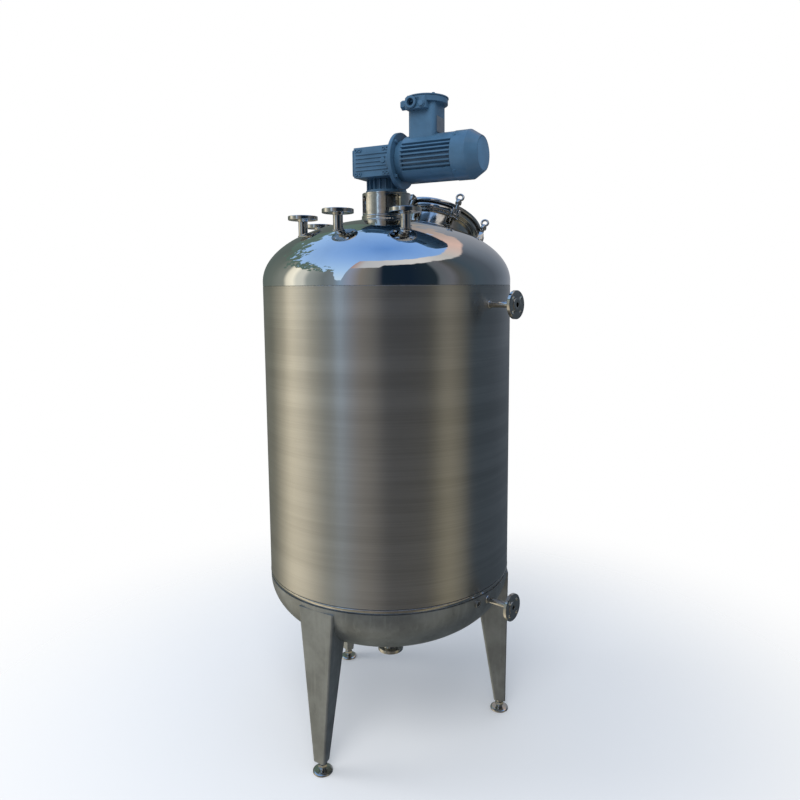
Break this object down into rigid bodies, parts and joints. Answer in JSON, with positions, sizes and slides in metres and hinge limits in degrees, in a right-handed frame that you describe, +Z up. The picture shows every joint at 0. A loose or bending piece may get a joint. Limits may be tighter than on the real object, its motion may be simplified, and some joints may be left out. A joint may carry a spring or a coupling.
{
  "type": "mixing tank",
  "caption": "Upright stainless steel mixing tank on tapered legs, with domed ends, a bolted manway, flanged nozzles and a worm-geared agitator drive on top.",
  "frame": {"origin": "on the floor, in the middle of the part's box seen from above", "axes": "+Z up along the tank's axis, +X along the motor, towards its fan cover, +Y towards the manway's side"},
  "size_m": [1.0228, 0.9926, 2.34],
  "materials": {
    "brushed_shell": "stainless steel, brushed around the shell, satin",
    "polished_steel": "stainless steel, mirror polished",
    "polished_bolts": "stainless steel, bright, with worn edges",
    "matte_steel": "stainless steel, dull grey, mottled",
    "machined_steel": "machined steel",
    "gasket_rubber": "black rubber",
    "blue_paint": "blue machine enamel, semi-gloss",
    "bare_aluminium": "bare plate, dull"
  },
  "bodies": {
    "tank": {"bare_plate": "bare_aluminium", "blanking_plug": "blue_paint", "bottom_head": "matte_steel", "bottom_outlet": "polished_steel", "cable_gland": "blue_paint", "drain_socket": "polished_steel", "drive_ring": "polished_steel", "fan_cover": "blue_paint", "fan_grille": "blue_paint", "foot_front": "polished_steel", "foot_left": "polished_steel", "foot_right": "polished_steel", "gearbox_cover": "blue_paint", "gearbox_housing": "blue_paint", "gearbox_output_flange": "blue_paint", "jacket_nozzle_lower": "polished_steel", "jacket_nozzle_upper": "polished_steel", "lantern": "polished_steel", "leg_front": "matte_steel", "leg_left": "matte_steel", "leg_right": "matte_steel", "lower_seam_band": "matte_steel", "manway_gasket": "gasket_rubber", "manway_lid": "polished_steel", "manway_neck": "polished_steel", "motor_body": "blue_paint", "motor_flange": "blue_paint", "seal_housing": "machined_steel", "shell": "brushed_shell", "terminal_box": "blue_paint", "terminal_cover": "blue_paint", "top_head": "polished_steel", "top_nozzle_front": "polished_steel", "top_nozzle_front_left": "polished_steel", "top_nozzle_left": "polished_steel", "top_nozzle_rear_left": "polished_steel", "worm_end_cover": "blue_paint"},
    "agitator": {"agitator_shaft": "machined_steel", "impeller": "machined_steel"},
    "bolt_1": {"swing_bolt_1": "polished_bolts"},
    "bolt_2": {"swing_bolt_2": "polished_bolts"},
    "bolt_3": {"swing_bolt_3": "polished_bolts"},
    "bolt_4": {"swing_bolt_4": "polished_bolts"},
    "bolt_5": {"swing_bolt_5": "polished_bolts"}
  },
  "joints": [
    {"name": "agitator_spin", "type": "hinge", "parent": "tank", "child": "agitator", "pos_m": [-0.05036, -0.02474, 1.9], "axis": [0, 0, 1], "continuous": true},
    {"name": "bolt_1_swing", "type": "hinge", "parent": "tank", "child": "bolt_1", "pos_m": [0.05336, 0.44159, 1.83232], "axis": [-0.9675, 0.2508, -0.0327], "range_deg": [0, 95]},
    {"name": "bolt_2_swing", "type": "hinge", "parent": "tank", "child": "bolt_2", "pos_m": [-0.12257, 0.40324, 1.87019], "axis": [-0.6886, -0.6118, 0.3892], "range_deg": [0, 95]},
    {"name": "bolt_3_swing", "type": "hinge", "parent": "tank", "child": "bolt_3", "pos_m": [-0.16609, 0.2466, 1.95636], "axis": [0.2789, -0.8627, 0.422], "range_deg": [0, 95]},
    {"name": "bolt_4_swing", "type": "hinge", "parent": "tank", "child": "bolt_4", "pos_m": [0.14224, 0.16667, 1.9668], "axis": [0.6886, 0.6118, -0.3892], "range_deg": [0, 95]},
    {"name": "bolt_5_swing", "type": "hinge", "parent": "tank", "child": "bolt_5", "pos_m": [0.18577, 0.32331, 1.88063], "axis": [-0.2789, 0.8627, -0.422], "range_deg": [0, 95]}
  ]
}
